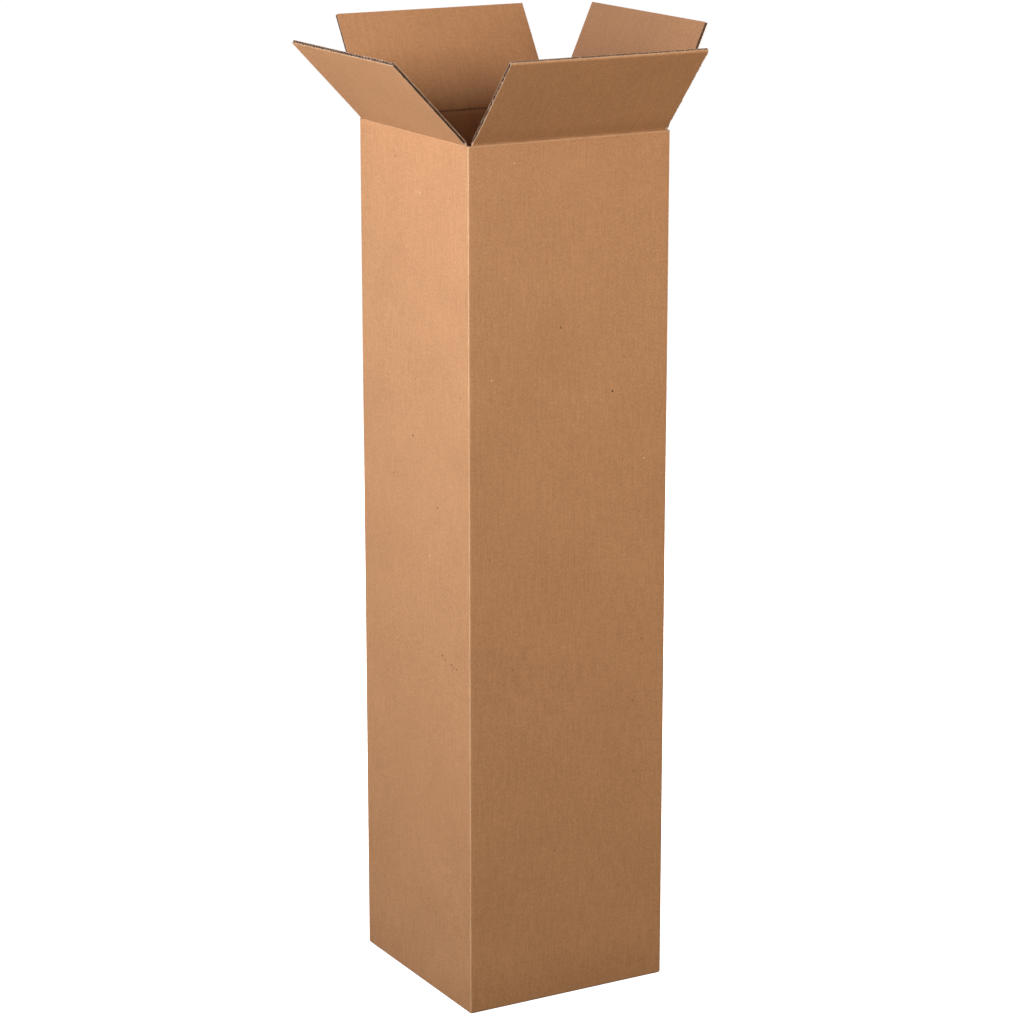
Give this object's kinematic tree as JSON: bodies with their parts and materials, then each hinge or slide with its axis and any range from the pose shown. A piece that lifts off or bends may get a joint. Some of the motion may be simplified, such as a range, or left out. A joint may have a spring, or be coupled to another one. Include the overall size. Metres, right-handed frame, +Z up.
{
  "type": "tall square corrugated carton",
  "caption": "Tall square corrugated carton standing upright, its bottom closed and its four top flaps folded open.",
  "frame": {"origin": "middle of the base, on the floor", "axes": "+X along the front panel to the right, +Y from the front panel to the back panel, +Z up along the box"},
  "size_m": [0.4844, 0.5053, 1.3721],
  "materials": {
    "kraft_panels": "uncoated kraft",
    "kraft_flaps": "uncoated kraft, cut edges showing the flutes"
  },
  "bodies": {
    "carton": {"body": "kraft_panels"},
    "front_flap": {"front_flap": "kraft_flaps"},
    "back_flap": {"back_flap": "kraft_flaps"},
    "left_flap": {"left_flap": "kraft_flaps"},
    "right_flap": {"right_flap": "kraft_flaps"}
  },
  "joints": [
    {"name": "front_score", "type": "hinge", "parent": "carton", "child": "front_flap", "pos_m": [0, -0.1575, 1.23165], "axis": [1, 0, 0], "range_deg": [-132, 134]},
    {"name": "back_score", "type": "hinge", "parent": "carton", "child": "back_flap", "pos_m": [0, 0.1575, 1.23165], "axis": [-1, 0, 0], "range_deg": [-123, 143]},
    {"name": "left_score", "type": "hinge", "parent": "carton", "child": "left_flap", "pos_m": [-0.1575, 0, 1.22635], "axis": [0, -1, 0], "range_deg": [-133, 133]},
    {"name": "right_score", "type": "hinge", "parent": "carton", "child": "right_flap", "pos_m": [0.1575, 0, 1.22635], "axis": [0, 1, 0], "range_deg": [-113.5, 152.5]}
  ]
}
